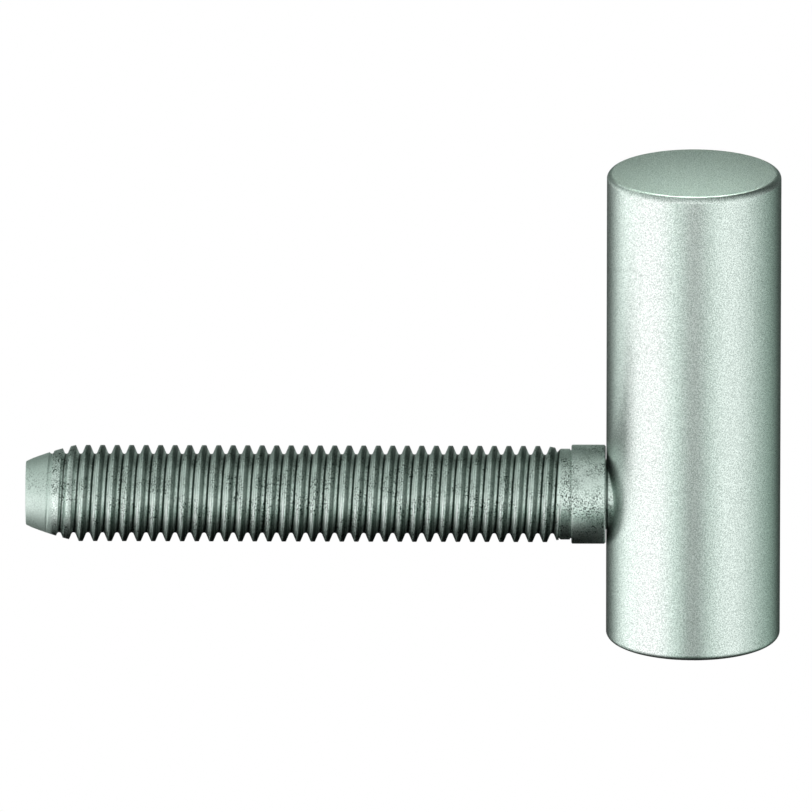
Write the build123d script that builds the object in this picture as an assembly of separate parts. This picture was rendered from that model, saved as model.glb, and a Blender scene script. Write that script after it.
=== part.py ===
from build123d import *
from math import radians, tan
import os

# Frame part of a drill-in door hinge: an upright knuckle with a threaded pin that screws into
# the door frame. Z is the hinge axis and starts at the mouth of the bore for the leaf part's pin,
# at the knuckle's open end. The threaded pin points along -X. All sizes are in millimetres.

# Knuckle
knuckle_d = 18.0
knuckle_h = 50.0
knuckle_edge_r = 0.6

# Bush for the hinge pin of the leaf part
hinge_pin_d = 9.0
hinge_pin_clearance = 0.05
bush_wall = 1.2
bush_l = 28.0
bush_flange_w = 1.3
bush_flange_t = 1.2
bush_lead = 0.3
bush_flange_clearance = 0.1

# Blind bore that holds the bush
bore_spare = 1.6
bore_mouth = 0.2
drill_point_angle = 118.0

# Threaded pin, from its tip to its neck in the knuckle's wall
pin_axis_h = 15.3
pin_reach = 60.0
thread_d = 10.0
tip_d = 6.65
lead_in_l = 5.3
lead_in_crown = 0.12
run_out_l = 0.6
shank_d = 9.4
shank_l = 1.1
collar_d = 10.25
collar_l = 3.55
collar_edge = 0.15
collar_gap = 0.05
neck_d = 7.2
neck_lead = 0.3
neck_gap = 0.3

# Sizes that follow from those above
knuckle_r = knuckle_d / 2
bush_bore_r = hinge_pin_d / 2 + hinge_pin_clearance
bush_r = bush_bore_r + bush_wall
bush_flange_r = bush_r + bush_flange_w
flange_seat_r = bush_flange_r + bush_flange_clearance
bore_depth = bush_l + bore_spare
drill_point_h = bush_r / tan(radians(drill_point_angle / 2))


def turned(*outline):
    # A body turned about Z from the (radius, height) corners of its half section
    return revolve(Plane.XZ * make_face(Polyline(*outline, close=True)), Axis.Z)


def knuckle():
    body = turned((0, 0), (knuckle_r, 0), (knuckle_r, knuckle_h), (0, knuckle_h))
    body = fillet(body.edges().filter_by(GeomType.CIRCLE), knuckle_edge_r)
    # One boring tool makes the flange's seat, the bush's bore and the drill point behind it
    bore = turned(
        (0, 0),
        (flange_seat_r + bore_mouth, 0),
        (flange_seat_r, bore_mouth),
        (flange_seat_r, bush_flange_t),
        (bush_r, bush_flange_t),
        (bush_r, bore_depth),
        (0, bore_depth + drill_point_h),
    )
    wall_hole = Plane(origin=(0, 0, pin_axis_h), z_dir=(-1, 0, 0)) * Cylinder(
        neck_d / 2, knuckle_d, align=(Align.CENTER, Align.CENTER, Align.MIN)
    )
    return body - bore - wall_hole


def bearing_bush():
    return turned(
        (bush_bore_r + bush_lead, 0),
        (bush_flange_r, 0),
        (bush_flange_r, bush_flange_t),
        (bush_r, bush_flange_t),
        (bush_r, bush_l - bush_lead),
        (bush_r - bush_lead, bush_l),
        (bush_bore_r + bush_lead, bush_l),
        (bush_bore_r, bush_l - bush_lead),
        (bush_bore_r, bush_lead),
    )


def threaded_pin():
    # Stations along the pin, as distances from the hinge axis
    tip = knuckle_r + pin_reach
    thread_start = tip - lead_in_l
    collar_end = knuckle_r + collar_gap
    collar_start = collar_end + collar_l
    shank_start = collar_start + shank_l
    thread_end = shank_start + run_out_l
    neck_end = bush_r + neck_gap
    tip_r, thread_r, shank_r, collar_r, neck_r = (d / 2 for d in (tip_d, thread_d, shank_d, collar_d, neck_d))
    lead_in = ThreePointArc(
        (tip, tip_r),
        (tip - lead_in_l / 2, (tip_r + thread_r) / 2 + lead_in_crown),
        (thread_start, thread_r),
    )
    body = Polyline(
        (thread_start, thread_r),
        (thread_end, thread_r),
        (shank_start, shank_r),
        (collar_start, shank_r),
        (collar_start, collar_r - collar_edge),
        (collar_start - collar_edge, collar_r),
        (collar_end + collar_edge, collar_r),
        (collar_end, collar_r - collar_edge),
        (collar_end, neck_r),
        (neck_end + neck_lead, neck_r),
        (neck_end, neck_r - neck_lead),
        (neck_end, 0),
        (tip, 0),
        (tip, tip_r),
    )
    # The section stands in a plane whose x runs along the pin and whose y is the radius
    along_pin = Plane(origin=(0, 0, pin_axis_h), x_dir=(-1, 0, 0), z_dir=(0, 1, 0))
    section = along_pin * make_face([lead_in, body])
    return revolve(section, Axis((0, 0, pin_axis_h), (-1, 0, 0)))


os.makedirs("parts", exist_ok=True)
export_step(knuckle(), "parts/knuckle.step")
export_step(bearing_bush(), "parts/bearing_bush.step")
export_step(threaded_pin(), "parts/threaded_pin.step")
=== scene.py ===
from math import ceil, cos, pi, radians, sin, tan

import bpy
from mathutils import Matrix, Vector


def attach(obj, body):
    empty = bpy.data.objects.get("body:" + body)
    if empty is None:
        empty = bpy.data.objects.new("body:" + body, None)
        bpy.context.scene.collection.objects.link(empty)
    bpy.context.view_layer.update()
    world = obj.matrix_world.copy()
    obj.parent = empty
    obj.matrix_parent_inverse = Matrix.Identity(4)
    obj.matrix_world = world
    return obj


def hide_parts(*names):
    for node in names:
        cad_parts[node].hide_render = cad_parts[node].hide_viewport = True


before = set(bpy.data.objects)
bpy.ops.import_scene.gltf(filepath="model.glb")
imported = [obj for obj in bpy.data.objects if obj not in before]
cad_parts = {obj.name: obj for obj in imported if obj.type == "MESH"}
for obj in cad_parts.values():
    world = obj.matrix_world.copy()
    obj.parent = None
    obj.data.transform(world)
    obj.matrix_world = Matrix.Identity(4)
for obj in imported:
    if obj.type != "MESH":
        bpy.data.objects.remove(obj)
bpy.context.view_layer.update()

# Driving sizes in metres. Z is the hinge axis, and the pin points along -X

MM = 0.001
KNUCKLE_RADIUS = 9.0 * MM
PIN_AXIS_HEIGHT = 15.3 * MM
PIN_REACH = 60.0 * MM
THREAD_RADIUS = 5.0 * MM
PITCH = 1.5 * MM
LEFT_HAND = -1
TIP_RADIUS = 3.325 * MM
TIP_EDGE_LENGTH = 0.05 * MM
TIP_EDGE_WIDTH = 0.12 * MM
LEAD_IN_LENGTH = 5.3 * MM
LEAD_IN_CROWN = 0.12 * MM
RUN_OUT_LENGTH = 0.2 * MM
SHANK_RADIUS = 4.7 * MM
SHANK_LENGTH = 1.1 * MM
SHANK_EDGE_LENGTH = 0.08 * MM
SHANK_EDGE_WIDTH = 0.06 * MM
UNDERCUT_LENGTH = 0.16 * MM
UNDERCUT_DEPTH = 0.14 * MM
UNDERCUT_SLOPE = 0.06 * MM
COLLAR_RADIUS = 5.125 * MM
COLLAR_LENGTH = 3.55 * MM
COLLAR_EDGE = 0.16 * MM
COLLAR_GAP = 0.05 * MM
NECK_RADIUS = 3.6 * MM
NECK_LENGTH = 3.0 * MM

# Section of the rolled thread, with its flank angle in degrees. The crests stay a little under full size
CREST_RADIUS = 4.98 * MM
CREST_HALF_FLAT = 0.19 * MM
CREST_ROUND = 0.08 * MM
ROOT_RADIUS = 4.07 * MM
FLANK_ANGLE = 24
FLANK_FULLNESS = 0.60 * MM

# Places along X that follow from those sizes
TIP = -KNUCKLE_RADIUS - PIN_REACH
THREAD_START = TIP + LEAD_IN_LENGTH
COLLAR_END = -KNUCKLE_RADIUS - COLLAR_GAP
COLLAR_START = COLLAR_END - COLLAR_LENGTH
SHANK_START = COLLAR_START - SHANK_LENGTH
THREAD_END = SHANK_START - RUN_OUT_LENGTH
NECK_END = COLLAR_END + NECK_LENGTH
# The thread is screwed from two turns behind its end to past the tip, and then trimmed
SCREW_START = THREAD_END + 2 * PITCH
TURNS = ceil((SCREW_START - TIP) / PITCH) + 1

# The bar that the thread is trimmed to, as (x, radius): clear of the crests along the thread, and
# narrower where the rolling runs out
CLEAR_RADIUS = 5.16 * MM
TRIM_STATIONS = [
    (THREAD_START + 1.2 * MM, CLEAR_RADIUS),
    (THREAD_END - 1.9 * MM, CLEAR_RADIUS),
    (THREAD_END - 1.2 * MM, CREST_RADIUS),
    (THREAD_END - 0.3 * MM, 4.78 * MM),
    (THREAD_END + 1.0 * MM, 4.6 * MM),
]
# The bar's core inside the last turn, which joins the thread to the shank
CORE_STATIONS = [(THREAD_END - 1.0 * MM, 3.6 * MM), (THREAD_END - 0.5 * MM, 4.0 * MM)]

# Zones of the tip along X, each from where it has faded out to where it is full
SMOOTH_TIP = (TIP + 2.9 * MM, TIP + 2.5 * MM)
LEAD_IN = (TIP + 6.5 * MM, TIP + 3.0 * MM)

# Fineness of the meshes
ROUND_SIDES = 128
THREAD_SIDES = 96
ROUNDING_STEPS = 3
LEAD_IN_STEPS = 8
SAME_PLACE = 0.001 * MM
SAME_PLANE = 0.00001 * MM
SHARP_ANGLE = 35


# Modelling helpers

def deselect_all():
    if bpy.context.mode != "OBJECT":
        bpy.ops.object.mode_set(mode="OBJECT")
    bpy.ops.object.select_all(action="DESELECT")


def select_only(piece):
    deselect_all()
    piece.select_set(True)
    bpy.context.view_layer.objects.active = piece


def settle(piece):
    """Puts the piece's place into its mesh, with its object at the origin."""
    select_only(piece)
    bpy.ops.object.transform_apply(location=True, rotation=True, scale=True)


def apply_modifiers(piece):
    select_only(piece)
    for modifier in list(piece.modifiers):
        bpy.ops.object.modifier_apply(modifier=modifier.name)


def edit_all():
    """Opens the active piece's mesh with everything in it selected."""
    bpy.ops.object.mode_set(mode="EDIT")
    bpy.ops.mesh.select_all(action="SELECT")


def close_outwards():
    """Turns every face of the open mesh outwards and goes back to whole objects."""
    bpy.ops.mesh.select_all(action="SELECT")
    bpy.ops.mesh.normals_make_consistent(inside=False)
    bpy.ops.object.mode_set(mode="OBJECT")


def turn_along_x(name, stations):
    """A solid bar turned about X: a disc extruded and widened through its (x, radius) stations."""
    deselect_all()
    x, radius = stations[0]
    bpy.ops.mesh.primitive_circle_add(
        vertices=ROUND_SIDES, radius=radius, fill_type="NGON", location=(x, 0, 0), rotation=(0, pi / 2, 0)
    )
    bar = bpy.context.object
    bar.name = name
    settle(bar)
    edit_all()
    for next_x, next_radius in stations[1:]:
        bpy.ops.mesh.extrude_region_move(TRANSFORM_OT_translate={"value": (next_x - x, 0, 0)})
        widen = next_radius / radius
        bpy.ops.transform.resize(value=(1, widen, widen), center_override=(next_x, 0, 0))
        x, radius = next_x, next_radius
    close_outwards()
    return bar


def combine(piece, other, operation):
    """Cuts or fuses the other body into the piece and removes the other."""
    join = piece.modifiers.new(operation.lower(), "BOOLEAN")
    join.operation = operation
    join.solver = "EXACT"
    join.object = other
    apply_modifiers(piece)
    bpy.data.objects.remove(other)


def dress(piece, material):
    piece.data.materials.clear()
    piece.data.materials.append(material)


# Threaded pin

def thread_profile():
    """One pitch of the rolled thread as (x, radius): round root, flank, flat crest, flank, root."""
    flank = radians(FLANK_ANGLE)
    turn = radians(90) - flank
    depth = CREST_RADIUS - ROOT_RADIUS
    flat_start = PITCH / 2 - CREST_HALF_FLAT
    # The root is as round as the straight flanks beside it allow
    root_round = (flat_start - depth * tan(flank)) / (cos(flank) - (1 - sin(flank)) * tan(flank))
    corner_x = flat_start + CREST_ROUND * tan(flank)
    corner_radius = CREST_RADIUS - CREST_ROUND
    root, crest = [], []
    for step in range(ROUNDING_STEPS + 1):
        angle = turn * step / ROUNDING_STEPS
        root.append((root_round * sin(angle), ROOT_RADIUS + root_round * (1 - cos(angle))))
        angle = turn * (1 - step / ROUNDING_STEPS)
        crest.append((corner_x - CREST_ROUND * sin(angle), corner_radius + CREST_ROUND * cos(angle)))
    rise = root + crest
    fall = [(PITCH - x, radius) for x, radius in reversed(rise)]
    return rise + fall


def make_thread():
    """The rolled thread: its profile drawn point by point, screwed round X and trimmed at both ends."""
    deselect_all()
    points = thread_profile()
    first_x, first_radius = points[0]
    bpy.ops.mesh.primitive_plane_add(size=PITCH / 4, location=(SCREW_START + first_x, 0, first_radius))
    thread = bpy.context.object
    thread.name = "threaded_pin_rolled"
    settle(thread)
    edit_all()
    bpy.ops.mesh.merge(type="CENTER")
    for (x, radius), (next_x, next_radius) in zip(points, points[1:]):
        bpy.ops.mesh.extrude_vertices_move(
            TRANSFORM_OT_translate={"value": (next_x - x, 0, next_radius - radius)}
        )
    bpy.ops.object.mode_set(mode="OBJECT")
    screw = thread.modifiers.new("screw", "SCREW")
    screw.axis = "X"
    screw.angle = 2 * pi
    screw.screw_offset = LEFT_HAND * PITCH
    screw.iterations = TURNS
    screw.steps = THREAD_SIDES
    screw.render_steps = THREAD_SIDES
    apply_modifiers(thread)
    edit_all()
    bpy.ops.mesh.remove_doubles(threshold=SAME_PLACE)
    for end, outwards in ((TIP - PITCH / 3, -1), (THREAD_END, 1)):
        bpy.ops.mesh.select_all(action="SELECT")
        bpy.ops.mesh.bisect(
            plane_co=(end, 0, 0), plane_no=(outwards, 0, 0), use_fill=True, clear_outer=True,
            threshold=SAME_PLANE,
        )
    close_outwards()
    return thread


def lead_in_stations():
    """The slightly crowned cone from the pin's flat tip to its full size, with a broken edge at the tip."""
    stations = [
        (TIP, TIP_RADIUS - TIP_EDGE_WIDTH),
        (TIP + TIP_EDGE_LENGTH, TIP_RADIUS - TIP_EDGE_WIDTH / 4),
    ]
    for step in range(1, LEAD_IN_STEPS + 1):
        share = step / LEAD_IN_STEPS
        # The crown is fullest half way
        crown = LEAD_IN_CROWN * 4 * share * (1 - share)
        radius = TIP_RADIUS + share * (THREAD_RADIUS - TIP_RADIUS) + crown
        stations.append((TIP + share * LEAD_IN_LENGTH, radius))
    return stations


def shank_stations():
    """The core inside the last turn, the plain shank with its undercut, the collar and the neck."""
    undercut_radius = SHANK_RADIUS - UNDERCUT_DEPTH
    # A round passes the corner that it takes off at about 0.3 of its radius
    round_middle = 0.3 * COLLAR_EDGE
    return CORE_STATIONS + [
        (SHANK_START - SHANK_EDGE_LENGTH, SHANK_RADIUS - SHANK_EDGE_WIDTH),
        (SHANK_START, SHANK_RADIUS),
        (COLLAR_START - UNDERCUT_LENGTH, SHANK_RADIUS),
        (COLLAR_START - UNDERCUT_LENGTH + UNDERCUT_SLOPE, undercut_radius),
        (COLLAR_START, undercut_radius),
        (COLLAR_START, COLLAR_RADIUS - COLLAR_EDGE),
        (COLLAR_START + round_middle, COLLAR_RADIUS - round_middle),
        (COLLAR_START + COLLAR_EDGE, COLLAR_RADIUS),
        (COLLAR_END - COLLAR_EDGE, COLLAR_RADIUS),
        (COLLAR_END, COLLAR_RADIUS - COLLAR_EDGE),
        (COLLAR_END, NECK_RADIUS),
        (NECK_END, NECK_RADIUS),
    ]


def make_threaded_pin():
    """The thread, trimmed to the lead-in and its run-out, and joined to the shank behind it."""
    pin = make_thread()
    combine(pin, turn_along_x("pin_trim", lead_in_stations() + TRIM_STATIONS), "INTERSECT")
    combine(pin, turn_along_x("pin_shank", shank_stations()), "UNION")
    pin.name = "threaded_pin_visual"
    pin.location.z = PIN_AXIS_HEIGHT
    settle(pin)
    bpy.ops.object.shade_smooth_by_angle(angle=radians(SHARP_ANGLE))
    return pin


# Node helpers. Where they take a value, it is a number, a colour or another node's output

def make_material(name):
    material = bpy.data.materials.new(name)
    material.use_nodes = True
    nodes = material.node_tree.nodes
    shader = next(n for n in nodes if n.type == "BSDF_PRINCIPLED")
    return material, material.node_tree, shader


def make_bare_material(name):
    """A material that has no nodes yet, for the studio's things."""
    material = bpy.data.materials.new(name)
    material.use_nodes = True
    material.node_tree.nodes.clear()
    return material, material.node_tree


def add_node(tree, kind, **settings):
    node = tree.nodes.new(kind)
    for key, value in settings.items():
        setattr(node, key, value)
    return node


def feed(tree, socket, value):
    """Links another node's output to the socket, or sets the value there."""
    if isinstance(value, bpy.types.NodeSocket):
        tree.links.new(value, socket)
    elif value is not None:
        socket.default_value = value


def feed_all(tree, node, **values):
    """Feeds sockets by their names, with a low line for each space."""
    for label, value in values.items():
        feed(tree, node.inputs[label.replace("_", " ")], value)


def object_place(tree):
    return add_node(tree, "ShaderNodeTexCoord").outputs["Object"]


def reckon(tree, operation, first, second=None):
    node = add_node(tree, "ShaderNodeMath", operation=operation)
    feed(tree, node.inputs[0], first)
    feed(tree, node.inputs[1], second)
    return node.outputs[0]


def noise(tree, place, scale, detail):
    node = add_node(tree, "ShaderNodeTexNoise")
    feed_all(tree, node, Vector=place, Scale=scale, Detail=detail)
    return node.outputs["Fac"]


def carry(tree, value, start=0.0, end=1.0, to_start=0.0, to_end=1.0, how="LINEAR"):
    """The value, carried from the stretch between start and end to the other one and held at its ends."""
    node = add_node(tree, "ShaderNodeMapRange", interpolation_type=how)
    feed_all(tree, node, Value=value, From_Min=start, From_Max=end, To_Min=to_start, To_Max=to_end)
    return node.outputs["Result"]


def blend(tree, factor, first, second, kind="RGBA", how="MIX"):
    """Goes from the first to the second by the factor. The kind is RGBA for colours, FLOAT for values."""
    node = add_node(tree, "ShaderNodeMix", data_type=kind, blend_type=how)
    feed_all(tree, node, Factor=factor, A=first, B=second)
    return node.outputs["Result"]


def relief(tree, height, distance, strength, under=None):
    """The surface's direction with this height on it, over the relief under it."""
    node = add_node(tree, "ShaderNodeBump")
    feed_all(tree, node, Height=height, Distance=distance, Strength=strength, Normal=under)
    return node.outputs["Normal"]


def colour_ramp(tree, place, stops):
    """A ramp through stops of (place, colour)."""
    node = add_node(tree, "ShaderNodeValToRGB")
    ramp = node.color_ramp
    while len(ramp.elements) > 1:
        ramp.elements.remove(ramp.elements[0])
    for i, (spot, colour) in enumerate(stops):
        element = ramp.elements[0] if i == 0 else ramp.elements.new(spot)
        element.position = spot
        element.color = colour
    tree.links.new(place, node.inputs["Fac"])
    return node.outputs["Color"]


def choose_shader(tree, factor, first, second):
    node = add_node(tree, "ShaderNodeMixShader")
    for socket, value in zip(node.inputs, (factor, first, second)):
        feed(tree, socket, value)
    return node.outputs["Shader"]


def show(tree, kind, shader):
    """Ends the nodes in an output node of this kind."""
    tree.links.new(shader, add_node(tree, kind).inputs["Surface"])


def new_group(name, inputs, outputs):
    group = bpy.data.node_groups.new(name, "ShaderNodeTree")
    for label, kind, value in inputs:
        socket = group.interface.new_socket(name=label, in_out="INPUT", socket_type=kind)
        if value is not None:
            socket.default_value = value
    for label, kind in outputs:
        group.interface.new_socket(name=label, in_out="OUTPUT", socket_type=kind)
    return group, group.nodes.new("NodeGroupInput"), group.nodes.new("NodeGroupOutput")


# Finishes

SATIN = (0.95, 0.98, 0.965, 1)
SATIN_GRAIN = (0.48, 0.52, 0.50, 1)
SATIN_EDGE_SHADE = (0.50, 0.55, 0.525, 1)
ZINC = (0.91, 0.98, 0.945, 1)
TURNED_TIP = (0.76, 0.84, 0.80, 1)
ZINC_SPECKLE = (0.47, 0.50, 0.485, 1)
ZINC_PIT = (0.08, 0.10, 0.09, 1)
PLASTIC = (0.06, 0.064, 0.063, 1)
PLASTIC_GRAIN = (0.035, 0.038, 0.038, 1)
# Roughness. Both metals stay above 0.275, because below that the render smooths their grain away
SATIN_GLOSS = (0.28, 0.31)
ROLLED_GLOSS = (0.28, 0.30)
TURNED_TIP_GLOSS = 0.54
PLASTIC_GLOSS = 0.55
# How many grains, patches, pits or lines lie side by side in a metre
SATIN_GRAINS = 10500.0
SATIN_CLOUDS = 90.0
ZINC_GRAINS = 7200.0
ZINC_PATCHES = 700.0
ZINC_PITS = 6500.0
ZINC_PIT_CLUSTERS = 420.0
TURNING_LINES = 9000.0
PLASTIC_GRAINS = 5000.0
# Heights of the relief in metres
GRAIN_HEIGHT = 0.03 * MM
ZINC_GRAIN_HEIGHT = 0.05 * MM
TURNING_LINE_HEIGHT = 0.03 * MM


def build_grain_group():
    """Fine blasted grain: a height and a mask from two sizes of noise."""
    group, inside, outside = new_group(
        "fine grain",
        [
            ("Coordinates", "NodeSocketVector", None),
            ("Grains per metre", "NodeSocketFloat", 8000.0),
            ("Coarse share", "NodeSocketFloat", 0.35),
        ],
        [("Height", "NodeSocketFloat"), ("Mask", "NodeSocketFloat")],
    )
    # The part's flat faces and edges lie along the noise's own cells, so the noise is turned askew
    askew = add_node(group, "ShaderNodeMapping")
    feed_all(
        group, askew, Vector=inside.outputs["Coordinates"],
        Location=(0.00011, 0.00007, 0.000046), Rotation=(0.55, 0.37, 0.81),
    )
    place = askew.outputs["Vector"]
    fine_scale = inside.outputs["Grains per metre"]
    coarse_scale = reckon(group, "MULTIPLY", fine_scale, 0.12)
    fine = noise(group, place, fine_scale, 2.0)
    coarse = noise(group, place, coarse_scale, 3.0)
    height = blend(group, inside.outputs["Coarse share"], fine, coarse, kind="FLOAT")
    feed(group, outside.inputs["Height"], height)
    feed(group, outside.inputs["Mask"], carry(group, height, 0.41, 0.59, how="SMOOTHSTEP"))
    return group


def add_grain(tree, grain_group, place, grains_per_metre, coarse_share):
    node = add_node(tree, "ShaderNodeGroup", node_tree=grain_group)
    feed_all(
        tree, node, Coordinates=place, Grains_per_metre=grains_per_metre, Coarse_share=coarse_share
    )
    return node.outputs["Height"], node.outputs["Mask"]


def satin_plating(grain_group):
    """Satin plating on the blasted knuckle."""
    material, tree, shader = make_material("satin_plated_steel_look")
    place = object_place(tree)
    height, mask = add_grain(tree, grain_group, place, SATIN_GRAINS, 0.0)
    colour = blend(tree, mask, SATIN_GRAIN, SATIN)
    gloss = carry(tree, noise(tree, place, SATIN_CLOUDS, 2.0), 0.0, 1.0, *SATIN_GLOSS)
    normal = relief(tree, height, GRAIN_HEIGHT, 0.6)
    feed_all(tree, shader, Base_Color=colour, Metallic=1.0, Roughness=gloss, Normal=normal)
    # Where the plating is seen edge on its reflection is tinted dark, a painted shade that draws a dark line
    # down both sides
    feed_all(tree, shader, Specular_Tint=SATIN_EDGE_SHADE)
    return material


def bush_plastic(grain_group):
    """Dark, matt moulded plastic of the bush."""
    material, tree, shader = make_material("bush_plastic_look")
    height, mask = add_grain(tree, grain_group, object_place(tree), PLASTIC_GRAINS, 0.5)
    colour = blend(tree, mask, PLASTIC_GRAIN, PLASTIC)
    normal = relief(tree, height, GRAIN_HEIGHT, 0.2)
    feed_all(tree, shader, Base_Color=colour, Roughness=PLASTIC_GLOSS, Normal=normal)
    return material


# Tone of the zinc across one turn of the thread, from one root to the next. The flank that faces the tip and
# the near half of the crest keep the full tone as a painted highlight. The root and the other flank are
# darkened as painted shade, but for one painted highlight stripe, and the rest of the crest is darker too
THREAD_PAINTED_LIGHT_AND_SHADE = [
    (0.0, 0.20), (0.05, 0.32), (0.09, 0.72), (0.13, 1.0), (0.30, 1.0), (0.405, 0.95), (0.445, 0.70),
    (0.485, 0.28), (0.56, 0.24), (0.71, 0.22), (0.75, 0.35), (0.795, 1.0), (0.89, 1.0),
    (0.93, 0.60), (0.97, 0.25), (1.0, 0.22),
]
# Where a turn of the thread carries its painted highlight, and the share of the speckle that is left off
# there
HIGHLIGHT_FLANK = [(0.0, 0.0), (0.07, 0.0), (0.12, 1.0), (0.23, 1.0), (0.33, 0.3), (0.40, 0.0), (1.0, 0.0)]
HIGHLIGHT_SPECKLE_OFF = 0.85
# Tone of the lead-in's shallow grooves: painted shade, dark only at their roots
GROOVE_PAINTED_SHADE = [(0.0, 0.10), (0.03, 0.20), (0.08, 1.0), (0.92, 1.0), (0.97, 0.20), (1.0, 0.10)]
# Tone along the collar's end and the neck, by millimetres from the hinge axis: painted shade, dark where they
# meet
NECK_PAINTED_SHADE = [
    (9.30, 1.0), (9.18, 0.95), (9.13, 0.30), (9.07, 0.18), (9.06, 0.95), (9.04, 0.95), (9.01, 0.15),
    (8.84, 0.15), (8.76, 1.0), (8.30, 1.0),
]


def tone_ramp(tree, place, stops):
    """A ramp of tones or shares through stops of (place, level), slightly greener where it is darker."""
    tones = [
        (spot, (level * (0.86 + 0.14 * level), level, level * (0.93 + 0.07 * level), 1))
        for spot, level in stops
    ]
    return colour_ramp(tree, place, tones)


def pin_zones(tree, place):
    """Where a point lies on the pin: along it, across a turn of the thread, and how far in each zone."""
    split = add_node(tree, "ShaderNodeSeparateXYZ")
    feed_all(tree, split, Vector=place)
    along = split.outputs["X"]
    height = reckon(tree, "SUBTRACT", split.outputs["Z"], PIN_AXIS_HEIGHT)
    front = reckon(tree, "MULTIPLY", split.outputs["Y"], -1.0)
    lead = reckon(tree, "MULTIPLY", reckon(tree, "ARCTAN2", front, height), LEFT_HAND / (2 * pi))
    turns = reckon(tree, "MULTIPLY", reckon(tree, "SUBTRACT", along, SCREW_START), 1 / PITCH)
    # Across a turn is 0 at one root, 0.5 at the crest and 1 at the next root
    across = reckon(tree, "FRACT", reckon(tree, "SUBTRACT", turns, lead))
    smooth_tip = carry(tree, along, *SMOOTH_TIP, how="SMOOTHSTEP")
    lead_in = carry(tree, along, *LEAD_IN, how="SMOOTHSTEP")
    # The shank, the collar and the neck have no thread
    before_shank = reckon(tree, "LESS_THAN", along, SHANK_START)
    grooved = reckon(tree, "MAXIMUM", reckon(tree, "SUBTRACT", before_shank, smooth_tip), 0.0)
    threaded = reckon(tree, "MAXIMUM", reckon(tree, "SUBTRACT", before_shank, lead_in), 0.0)
    return along, across, smooth_tip, grooved, threaded


def zinc_with_painted_light(tree, along, across, smooth_tip, grooved, threaded):
    """Bright zinc, duller at the turned tip, with painted shade in the grooves and the neck, and painted
    light and shade across the thread.
    """
    zinc = blend(tree, smooth_tip, ZINC, TURNED_TIP)
    # Painted shade in the roots of the lead-in's grooves
    zinc = blend(tree, grooved, zinc, tone_ramp(tree, across, GROOVE_PAINTED_SHADE), how="MULTIPLY")
    # Painted light and shade across each turn of the thread
    zinc = blend(tree, threaded, zinc, tone_ramp(tree, across, THREAD_PAINTED_LIGHT_AND_SHADE), how="MULTIPLY")
    # Painted shade where the collar and the neck meet
    farthest, nearest = NECK_PAINTED_SHADE[0][0], NECK_PAINTED_SHADE[-1][0]
    neck_place = carry(tree, along, -farthest * MM, -nearest * MM)
    neck_shade_stops = [((farthest - at) / (farthest - nearest), level) for at, level in NECK_PAINTED_SHADE]
    return blend(tree, 1.0, zinc, tone_ramp(tree, neck_place, neck_shade_stops), how="MULTIPLY")


def speckle_zinc(tree, place, mask, zinc, across, smooth_tip, threaded):
    """Patches of fine grey speckle and clusters of sparse black pits, both weaker on the smooth tip."""
    off_tip = carry(tree, smooth_tip, to_start=1.0, to_end=0.30)
    patches = carry(tree, noise(tree, place, ZINC_PATCHES, 1.0), 0.35, 0.65, to_start=0.35)
    # Less speckle where the thread's painted highlight lies
    painted_highlight = reckon(tree, "MULTIPLY", tone_ramp(tree, across, HIGHLIGHT_FLANK), threaded)
    speckle_kept = reckon(tree, "SUBTRACT", 1.0, reckon(tree, "MULTIPLY", painted_highlight, HIGHLIGHT_SPECKLE_OFF))
    grey = reckon(tree, "MULTIPLY", reckon(tree, "MULTIPLY", patches, mask), off_tip)
    grey = reckon(tree, "MULTIPLY", grey, speckle_kept)
    zinc = blend(tree, grey, zinc, ZINC_SPECKLE, how="MULTIPLY")
    pits = carry(tree, noise(tree, place, ZINC_PITS, 0.0), 0.58, 0.66, how="SMOOTHSTEP")
    clusters = carry(tree, noise(tree, place, ZINC_PIT_CLUSTERS, 2.0), 0.42, 0.60, how="SMOOTHSTEP")
    black = reckon(tree, "MULTIPLY", reckon(tree, "MULTIPLY", pits, clusters), off_tip)
    return blend(tree, black, zinc, ZINC_PIT, how="MULTIPLY")


def pin_relief(tree, place, height, across, smooth_tip, threaded):
    """Full flanks under turning lines under the grain, which is weaker on the smooth tip."""
    # Rolling leaves both flanks slightly full, so they lean less than their section
    up_flank = reckon(tree, "PINGPONG", across, 0.5)
    fullness = carry(tree, up_flank, 0.05, 0.31, to_end=-1.0)
    flanks = relief(tree, fullness, FLANK_FULLNESS, threaded)
    # Turning lines run round the pin, so they change only along it
    stretched = add_node(tree, "ShaderNodeMapping")
    feed_all(tree, stretched, Vector=place, Scale=(1, 0.02, 0.02))
    lines = noise(tree, stretched.outputs["Vector"], TURNING_LINES, 1.0)
    turned = relief(tree, lines, TURNING_LINE_HEIGHT, 0.35, under=flanks)
    grain_strength = carry(tree, smooth_tip, to_start=1.0, to_end=0.35)
    return relief(tree, height, ZINC_GRAIN_HEIGHT, grain_strength, under=turned)


def zinc_plating(grain_group):
    """Bright zinc on the rolled pin, with turning lines, a speckled gloss and painted light and shade in the
    thread.
    """
    material, tree, shader = make_material("zinc_plated_steel_look")
    place = object_place(tree)
    height, mask = add_grain(tree, grain_group, place, ZINC_GRAINS, 0.1)
    along, across, smooth_tip, grooved, threaded = pin_zones(tree, place)
    zinc = zinc_with_painted_light(tree, along, across, smooth_tip, grooved, threaded)
    zinc = speckle_zinc(tree, place, mask, zinc, across, smooth_tip, threaded)
    rolled_gloss = carry(tree, mask, 0.0, 1.0, *ROLLED_GLOSS)
    gloss = blend(tree, smooth_tip, rolled_gloss, TURNED_TIP_GLOSS, kind="FLOAT")
    normal = pin_relief(tree, place, height, across, smooth_tip, threaded)
    feed_all(tree, shader, Base_Color=zinc, Metallic=1.0, Roughness=gloss, Normal=normal)
    return material


# Studio, in metres and degrees. The camera stands far off, so its view has hardly any perspective

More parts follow.
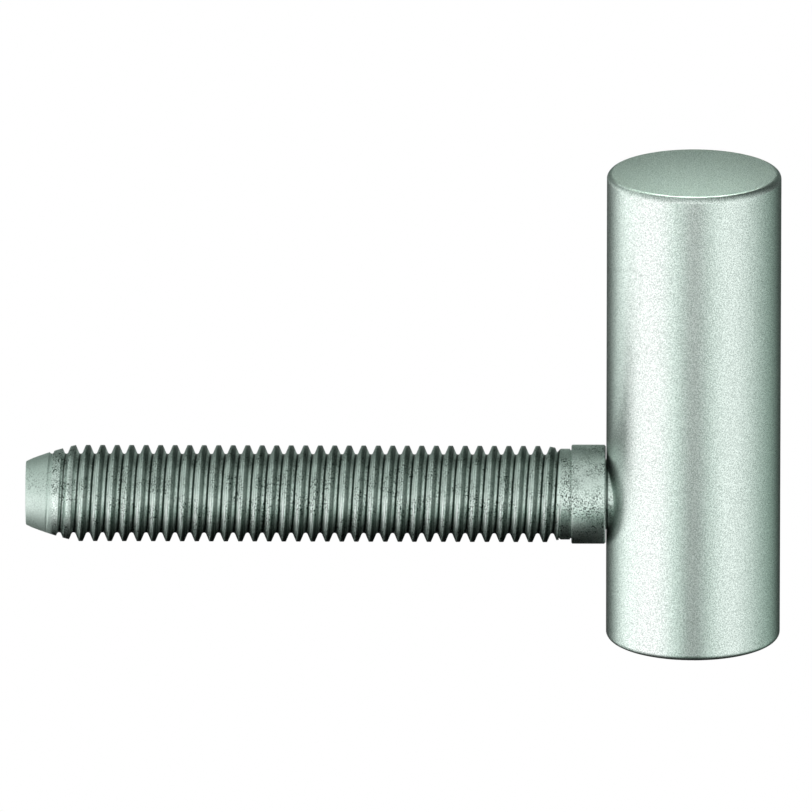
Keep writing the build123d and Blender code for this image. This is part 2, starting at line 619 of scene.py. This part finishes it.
PHOTO_PIXELS = 812
PIXELS_PER_MM = 9.68
VIEW_WIDTH = PHOTO_PIXELS / PIXELS_PER_MM * MM
VIEW_CENTRE = Vector((-29.7 * MM, 0, 24.8 * MM))
CAMERA_AZIMUTH = 0.45
CAMERA_ELEVATION = 17.3
CAMERA_DISTANCE = 3.0
SENSOR_WIDTH_MM = 36
LAMP_COLOUR = (0.84, 1.0, 0.89)
# Lamps on the knuckle's top face and rim: place and aim in millimetres, cone in degrees, radius in
# millimetres and power in watts
LAMPS = [
    ("top_spot", (0, 60, 110), (0, -11, 50), 20, 14, 0.092),
    ("rim_spot", (0, 22, 150), (0, -9, 50), 20, 20, 0.02),
    ("left_rim_spot", (-46, 57, 117), (-6, -5, 50), 18, 16, 0.04),
]
STUDIO_GREY = (0.8, 0.8, 0.8, 1)
WHITE = (1, 1, 1, 1)
FLOOR_RADIUS = 0.9
FLOOR_PLACE = (-0.03, 0, -0.9)
TENT_RADIUS = 0.6
STUDIO_SIDES = 96
# Brightness of the light tent's cloth as (bearing, level), low down and high up, where the low cloth
# gives way to the high one, as (elevation, share), and the fall from the horizon to the poles
TENT_LOW = [
    (-180, 0.03), (-165, 0.0), (-152, 0.0), (-140, 0.04), (-126, 0.42), (-114, 1.12), (-98, 1.60),
    (-84, 1.48), (-70, 1.48), (-56, 1.60), (-42, 1.58), (-30, 1.34), (-20, 1.0), (-10, 0.12),
    (0, 0.0), (10, 0.09), (20, 0.82), (32, 1.18), (45, 1.38), (58, 1.30), (70, 1.20), (84, 0.90),
    (98, 0.69), (112, 0.57), (126, 0.48), (140, 0.19), (152, 0.0), (165, 0.0), (180, 0.03),
]
TENT_HIGH = [
    (-180, 0.37), (-150, 0.24), (-130, 0.60), (-112, 1.25), (-90, 1.35), (-60, 1.25), (-32, 1.05),
    (-18, 1.32), (0, 1.38), (18, 1.28), (40, 1.10), (55, 1.0), (85, 0.62), (110, 0.20), (135, 0.10),
    (160, 0.26), (180, 0.37),
]
TENT_BLEND = [(-90, 0.0), (-15, 0.0), (-8, 0.72), (-2, 0.97), (8, 1.0), (90, 1.0)]
TENT_FALL = [
    (-90, 0.01), (-70, 0.02), (-58, 0.06), (-46, 0.20), (-34, 0.58), (-20, 1.0), (0, 1.0), (8, 0.84),
    (18, 0.69), (34, 0.57), (60, 0.47), (90, 0.45),
]
# Tint of the cloth as (bearing or elevation, green): at 1 it keeps 0.6 of its red and 0.8 of its blue
TINT_LOW = [
    (-180, 0.7), (-126, 0.50), (-98, 0.20), (-80, 0.02), (-66, -0.06), (-45, -0.06), (-32, 0.25),
    (-20, 0.85), (0, 1.0), (20, 0.80), (33, 0.22), (58, 0.16), (88, 0.42), (120, 0.72), (180, 0.7),
]
TINT_HIGH = [(-180, 0.30), (-60, 0.0), (0, 0.0), (60, 0.15), (180, 0.30)]
TINT_FALL = [(-90, 0.25), (-45, 0.2), (-25, 0.05), (-15, -0.05), (-4, 0.0), (12, 0.25), (90, 0.25)]
NO_TINT = [(-180, 0.0), (180, 0.0)]


def direction(azimuth, elevation):
    """From the object towards a place round it. Azimuth 0 is the front and grows to the right."""
    a, e = radians(azimuth), radians(elevation)
    return Vector((sin(a) * cos(e), -cos(a) * cos(e), sin(e)))


def aim(thing, towards):
    """Turns a camera or lamp so that it looks along the direction."""
    thing.rotation_mode = "QUATERNION"
    thing.rotation_quaternion = towards.to_track_quat("-Z", "Y")


def make_camera():
    data = bpy.data.cameras.new("photo_camera")
    data.sensor_width = SENSOR_WIDTH_MM
    data.lens = SENSOR_WIDTH_MM * CAMERA_DISTANCE / VIEW_WIDTH
    data.clip_start = 0.1
    data.clip_end = 20
    camera = bpy.data.objects.new("photo_camera", data)
    bpy.context.scene.collection.objects.link(camera)
    back = direction(CAMERA_AZIMUTH, CAMERA_ELEVATION)
    camera.location = VIEW_CENTRE + back * CAMERA_DISTANCE
    aim(camera, -back)
    bpy.context.scene.camera = camera


def make_spot(name, place_mm, target_mm, cone, radius_mm, watts):
    """A soft round lamp that only reaches what its cone covers. The camera doesn't see it."""
    data = bpy.data.lights.new(name, "SPOT")
    data.spot_size = radians(cone)
    data.spot_blend = 1.0
    data.shadow_soft_size = radius_mm * MM
    data.energy = watts
    data.color = LAMP_COLOUR
    lamp = bpy.data.objects.new(name, data)
    bpy.context.scene.collection.objects.link(lamp)
    place = Vector([at * MM for at in place_mm])
    target = Vector([at * MM for at in target_mm])
    lamp.location = place
    aim(lamp, target - place)
    lamp.visible_camera = False


def seen_rays(tree):
    """1 for rays from the camera and for what metal and glass show, 0 for plain lighting."""
    path = add_node(tree, "ShaderNodeLightPath")
    mirror = reckon(tree, "MAXIMUM", path.outputs["Is Camera Ray"], path.outputs["Is Glossy Ray"])
    return reckon(tree, "MAXIMUM", mirror, path.outputs["Is Transmission Ray"])


def make_world():
    """A plain white backdrop, also for what mirrors or shows through the object."""
    world = bpy.data.worlds.new("white_backdrop")
    world.use_nodes = True
    bpy.context.scene.world = world
    tree = world.node_tree
    tree.nodes.clear()
    fill = add_node(tree, "ShaderNodeBackground")
    feed_all(tree, fill, Color=STUDIO_GREY)
    backdrop = add_node(tree, "ShaderNodeBackground")
    feed_all(tree, backdrop, Color=WHITE)
    seen = choose_shader(tree, seen_rays(tree), fill.outputs["Background"], backdrop.outputs["Background"])
    show(tree, "ShaderNodeOutputWorld", seen)


def make_floor():
    """The pale floor, so far below the held part that its shadow falls out of the picture."""
    deselect_all()
    bpy.ops.mesh.primitive_circle_add(
        vertices=STUDIO_SIDES, radius=FLOOR_RADIUS, fill_type="NGON", location=FLOOR_PLACE
    )
    floor = bpy.context.object
    floor.name = "floor"
    material, tree = make_bare_material("pale_floor")
    matt = add_node(tree, "ShaderNodeBsdfDiffuse")
    feed_all(tree, matt, Color=STUDIO_GREY)
    glow = add_node(tree, "ShaderNodeEmission")
    seen = choose_shader(tree, seen_rays(tree), matt.outputs["BSDF"], glow.outputs["Emission"])
    show(tree, "ShaderNodeOutputMaterial", seen)
    dress(floor, material)


def between(stops, at):
    """The value at a place between stops of (place, value)."""
    for (low, first), (high, second) in zip(stops, stops[1:]):
        if low <= at <= high:
            return first + (second - first) * (at - low) / (high - low)


def cloth_ramp(tree, angle, stops, tints=NO_TINT):
    """A ramp through stops of (degrees, level) along an angle in radians, tinted as the tints say."""
    low, high = stops[0][0], stops[-1][0]
    colours = []
    for at, level in stops:
        green = between(tints, at)
        colour = (level * (1 - 0.4 * green), level, level * (1 - 0.2 * green), 1)
        colours.append(((at - low) / (high - low), colour))
    return colour_ramp(tree, carry(tree, angle, radians(low), radians(high)), colours)


def tent_cloth():
    """Cloth that glows by its bearing and elevation from the part, and isn't there for the camera."""
    material, tree = make_bare_material("tent_cloth")
    split = add_node(tree, "ShaderNodeSeparateXYZ")
    feed_all(tree, split, Vector=object_place(tree))
    front = reckon(tree, "MULTIPLY", split.outputs["Y"], -1.0)
    bearing = reckon(tree, "ARCTAN2", split.outputs["X"], front)
    elevation = reckon(tree, "ARCSINE", reckon(tree, "DIVIDE", split.outputs["Z"], TENT_RADIUS))
    low = cloth_ramp(tree, bearing, TENT_LOW, TINT_LOW)
    high = cloth_ramp(tree, bearing, TENT_HIGH, TINT_HIGH)
    ring = blend(tree, cloth_ramp(tree, elevation, TENT_BLEND), low, high)
    cloth = blend(tree, 1.0, ring, cloth_ramp(tree, elevation, TENT_FALL, TINT_FALL), how="MULTIPLY")
    glow = add_node(tree, "ShaderNodeEmission")
    feed_all(tree, glow, Color=cloth)
    clear = add_node(tree, "ShaderNodeBsdfTransparent")
    path = add_node(tree, "ShaderNodeLightPath")
    seen = choose_shader(tree, path.outputs["Is Camera Ray"], glow.outputs["Emission"], clear.outputs["BSDF"])
    show(tree, "ShaderNodeOutputMaterial", seen)
    return material


def make_light_tent():
    """A round light tent about the part, with its cloth's face inwards."""
    deselect_all()
    bpy.ops.mesh.primitive_uv_sphere_add(
        segments=STUDIO_SIDES, ring_count=STUDIO_SIDES // 2, radius=TENT_RADIUS, location=(0, 0, 0)
    )
    tent = bpy.context.object
    tent.name = "light_tent"
    edit_all()
    bpy.ops.mesh.flip_normals()
    bpy.ops.object.mode_set(mode="OBJECT")
    dress(tent, tent_cloth())


# Build

grain = build_grain_group()
dress(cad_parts["knuckle"], satin_plating(grain))
dress(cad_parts["bearing_bush"], bush_plastic(grain))

pin = make_threaded_pin()
dress(pin, zinc_plating(grain))
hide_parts("threaded_pin")
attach(pin, "root")

make_floor()
make_world()
make_light_tent()
for lamp in LAMPS:
    make_spot(*lamp)
make_camera()
bpy.context.scene.view_settings.view_transform = "Standard"
